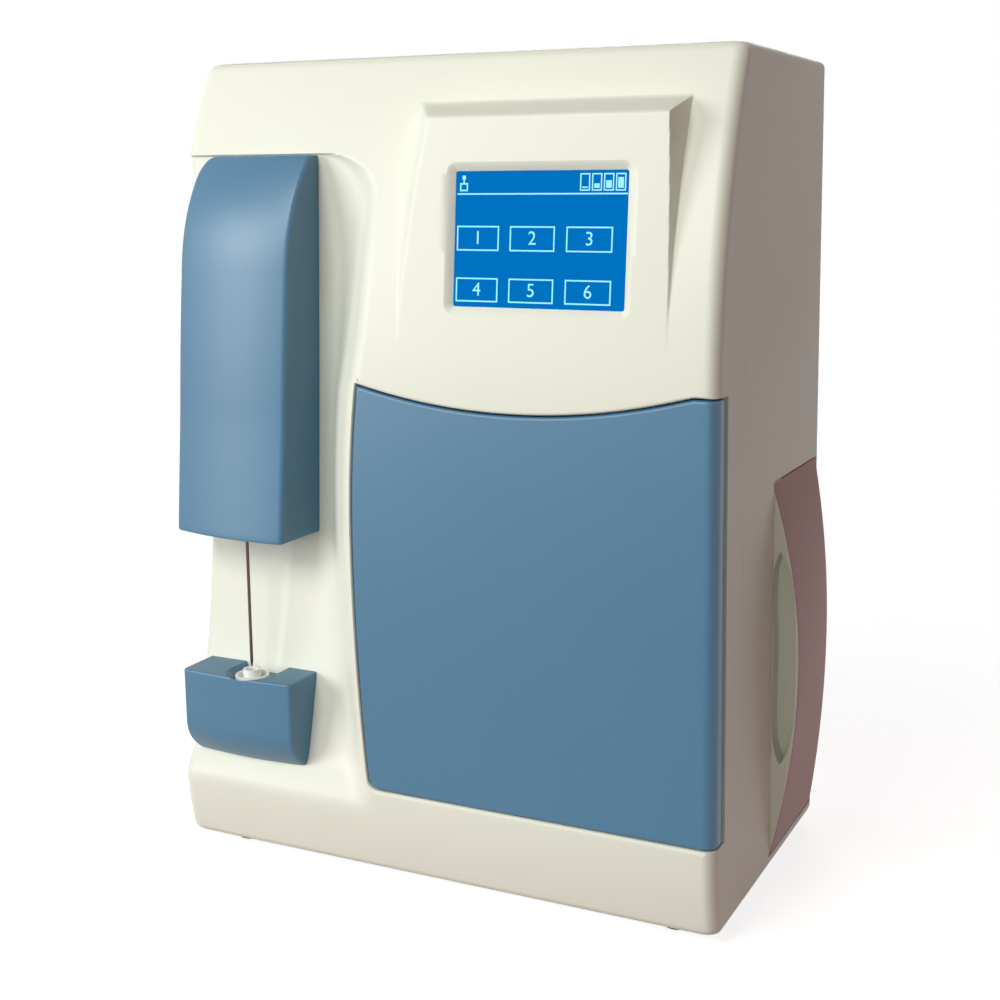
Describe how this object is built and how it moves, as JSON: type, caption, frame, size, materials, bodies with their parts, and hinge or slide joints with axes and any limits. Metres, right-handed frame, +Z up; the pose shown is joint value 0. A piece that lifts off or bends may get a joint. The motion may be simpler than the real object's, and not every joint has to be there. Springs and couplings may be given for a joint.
{
  "type": "electrolyte analyzer",
  "caption": "Bench analyzer casing with touch screen, hinged compartment door, covered needle sampler over a wash tray, and slide-out reagent pack.",
  "frame": {"origin": "middle of the overall footprint, on the surface the feet stand on", "axes": "+Z up, -Y towards the operator (the front), +X to the operator's right"},
  "size_m": [0.3067, 0.19, 0.405],
  "materials": {
    "cream_plastic": "satin moulded plastic",
    "blue_plastic": "fine-textured moulded plastic",
    "mauve_plastic": "satin moulded plastic",
    "steel": "brushed sheet",
    "dark_plastic": "matte",
    "rubber_feet": "matte rubber",
    "grey_plastic": "matte",
    "white_plastic": "semi-gloss",
    "clear_plastic": "translucent",
    "tubing": "clear flexible tube",
    "circuit_board": "solder mask",
    "touch_glass": "lit blue display under clear film",
    "red_plastic": "gloss",
    "sodium_yellow": "gloss",
    "potassium_red": "gloss",
    "chloride_green": "gloss",
    "reference_blue": "gloss",
    "waste_plastic": "translucent"
  },
  "bodies": {
    "casing": {"front_cover": "cream_plastic", "main_case": "cream_plastic", "back_panel": "steel", "base_plate": "steel", "foot_front_left": "rubber_feet", "foot_front_right": "rubber_feet", "foot_rear_left": "rubber_feet", "foot_rear_right": "rubber_feet", "hinge_pin_lower": "steel", "hinge_pin_upper": "steel", "touch_panel": "touch_glass", "lcd_module": "grey_plastic", "display_board": "circuit_board", "sampler_housing": "blue_plastic", "sampler_frame": "steel", "guide_rod_left": "steel", "guide_rod_right": "steel", "drive_belt": "rubber_feet", "sampler_motor": "dark_plastic", "sample_tray": "blue_plastic", "wash_cup": "white_plastic", "compartment_liner": "grey_plastic", "electrode_holder": "white_plastic", "electrode_sodium": "sodium_yellow", "electrode_potassium": "potassium_red", "electrode_chloride": "chloride_green", "electrode_reference": "reference_blue", "pressure_plate": "white_plastic", "pump_housing": "grey_plastic", "pump_motor": "steel", "valve_block": "clear_plastic", "valve_coil_left": "dark_plastic", "valve_coil_right": "dark_plastic", "reagent_dock": "grey_plastic", "bay_frame": "steel", "power_inlet": "dark_plastic", "switch_frame": "dark_plastic", "serial_port": "steel", "power_supply": "steel", "main_board": "circuit_board", "board_bracket": "steel", "sample_line": "tubing", "pump_line": "tubing", "standard_line_a": "tubing"},
    "door_leaf": {"door": "blue_plastic", "catch_plate": "steel"},
    "probe_slider": {"probe_carriage": "dark_plastic", "sample_probe": "steel", "probe_loop": "tubing"},
    "upper_pulley": {"drive_pulley": "grey_plastic"},
    "lower_pulley": {"idler_pulley": "grey_plastic"},
    "reagent_pack": {"reagent_cover": "mauve_plastic", "reagent_tray": "white_plastic", "bottle_standard_a": "clear_plastic", "bottle_standard_b": "clear_plastic", "bottle_waste": "waste_plastic"},
    "rotor": {"pump_rotor": "white_plastic"},
    "knob": {"lock_knob": "dark_plastic"},
    "rocker": {"power_rocker": "red_plastic"}
  },
  "joints": [
    {"name": "door_hinge", "type": "hinge", "parent": "casing", "child": "door_leaf", "pos_m": [0.13168, -0.079, 0.155], "axis": [-0.0163, 0, 0.9999], "range_deg": [0, 115]},
    {"name": "probe_lift", "type": "slide", "parent": "casing", "child": "probe_slider", "axis": [0, 0, 1], "range_m": [0, 0.06], "deforming": ["probe_loop"]},
    {"name": "upper_pulley_turn", "type": "hinge", "parent": "casing", "child": "upper_pulley", "pos_m": [-0.09137, -0.072, 0.301], "axis": [0, 1, 0], "continuous": true},
    {"name": "lower_pulley_turn", "type": "hinge", "parent": "casing", "child": "lower_pulley", "pos_m": [-0.09137, -0.072, 0.193], "axis": [0, 1, 0], "continuous": true},
    {"name": "reagent_pack_slide", "type": "slide", "parent": "casing", "child": "reagent_pack", "axis": [1, 0, 0], "range_m": [0, 0.1]},
    {"name": "pump_spin", "type": "hinge", "parent": "casing", "child": "rotor", "pos_m": [0.00813, -0.0345, 0.096], "axis": [0, 1, 0], "continuous": true},
    {"name": "lock_knob_turn", "type": "hinge", "parent": "casing", "child": "knob", "pos_m": [0.10613, -0.0381, 0.1605], "axis": [1, 0, 0], "range_deg": [0, 90]},
    {"name": "power_rocker_tilt", "type": "hinge", "parent": "casing", "child": "rocker", "pos_m": [-0.08987, 0.088, 0.087], "axis": [1, 0, 0], "range_deg": [0, 12]}
  ],
  "couplings": [
    {"joint": "upper_pulley_turn", "follows": "probe_lift", "rad_per_m": 172.41},
    {"joint": "lower_pulley_turn", "follows": "probe_lift", "rad_per_m": 172.41}
  ]
}
